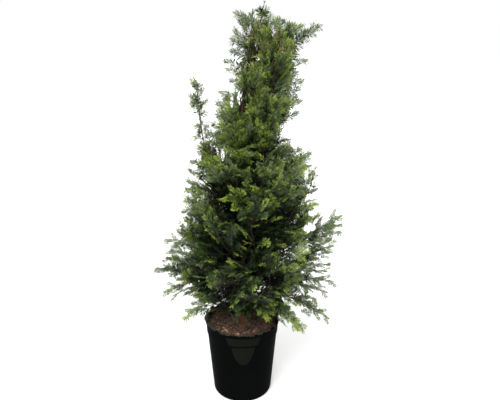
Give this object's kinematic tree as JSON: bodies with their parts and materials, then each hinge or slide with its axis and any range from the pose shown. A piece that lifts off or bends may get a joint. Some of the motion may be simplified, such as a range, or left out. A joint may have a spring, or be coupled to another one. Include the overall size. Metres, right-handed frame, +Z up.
{
  "type": "potted yew shrub",
  "caption": "Slim, bushy evergreen yew with upright stems and flat sprays of needles, in a round black nursery pot filled to the rim.",
  "frame": {"origin": "centre of the pot's flat underside, where it stands on the ground", "axes": "+Z up the pot and the trunk, -Y towards the front of the plant, +X to the right as seen from the front"},
  "size_m": [0.7085, 0.6235, 1.4448],
  "materials": {
    "pot": "satin black polypropylene",
    "soil": "moist bark and peat",
    "bark": "thin, reddish-brown flaking bark",
    "needles": "dark green, slightly waxy needles"
  },
  "bodies": {
    "root": {"pot": "pot", "soil": "soil", "trunk": "bark", "stem_right": "bark", "stem_left": "bark", "bough_low_1": "bark", "bough_low_2": "bark", "bough_low_3": "bark", "bough_low_4": "bark", "bough_low_5": "bark", "foliage_skirt_1": "needles", "foliage_skirt_2": "needles", "foliage_skirt_3": "needles", "foliage_skirt_4": "needles", "foliage_skirt_5": "needles", "foliage_low_1": "needles", "foliage_low_2": "needles", "foliage_low_3": "needles", "foliage_low_4": "needles", "foliage_low_5": "needles", "foliage_broad_1": "needles", "foliage_broad_2": "needles", "foliage_broad_3": "needles", "foliage_broad_4": "needles", "foliage_broad_5": "needles", "foliage_broad_6": "needles", "foliage_waist_1": "needles", "foliage_waist_2": "needles", "foliage_waist_3": "needles", "foliage_waist_4": "needles", "foliage_waist_5": "needles", "foliage_shoulder_1": "needles", "foliage_shoulder_2": "needles", "foliage_shoulder_3": "needles", "foliage_shoulder_4": "needles", "foliage_shoulder_5": "needles", "foliage_neck_1": "needles", "foliage_neck_2": "needles", "foliage_neck_3": "needles", "foliage_neck_4": "needles", "foliage_upper_1": "needles", "foliage_upper_2": "needles", "foliage_upper_3": "needles", "foliage_upper_4": "needles", "foliage_top_1": "needles", "foliage_top_2": "needles", "foliage_top_3": "needles", "foliage_right_1": "needles", "foliage_right_2": "needles", "foliage_right_3": "needles", "foliage_plume_1": "needles", "foliage_plume_2": "needles", "foliage_plume_3": "needles", "foliage_plume_4": "needles", "foliage_leader_tip": "needles", "foliage_plume_tip": "needles", "foliage_left_tuft": "needles"}
  },
  "joints": []
}
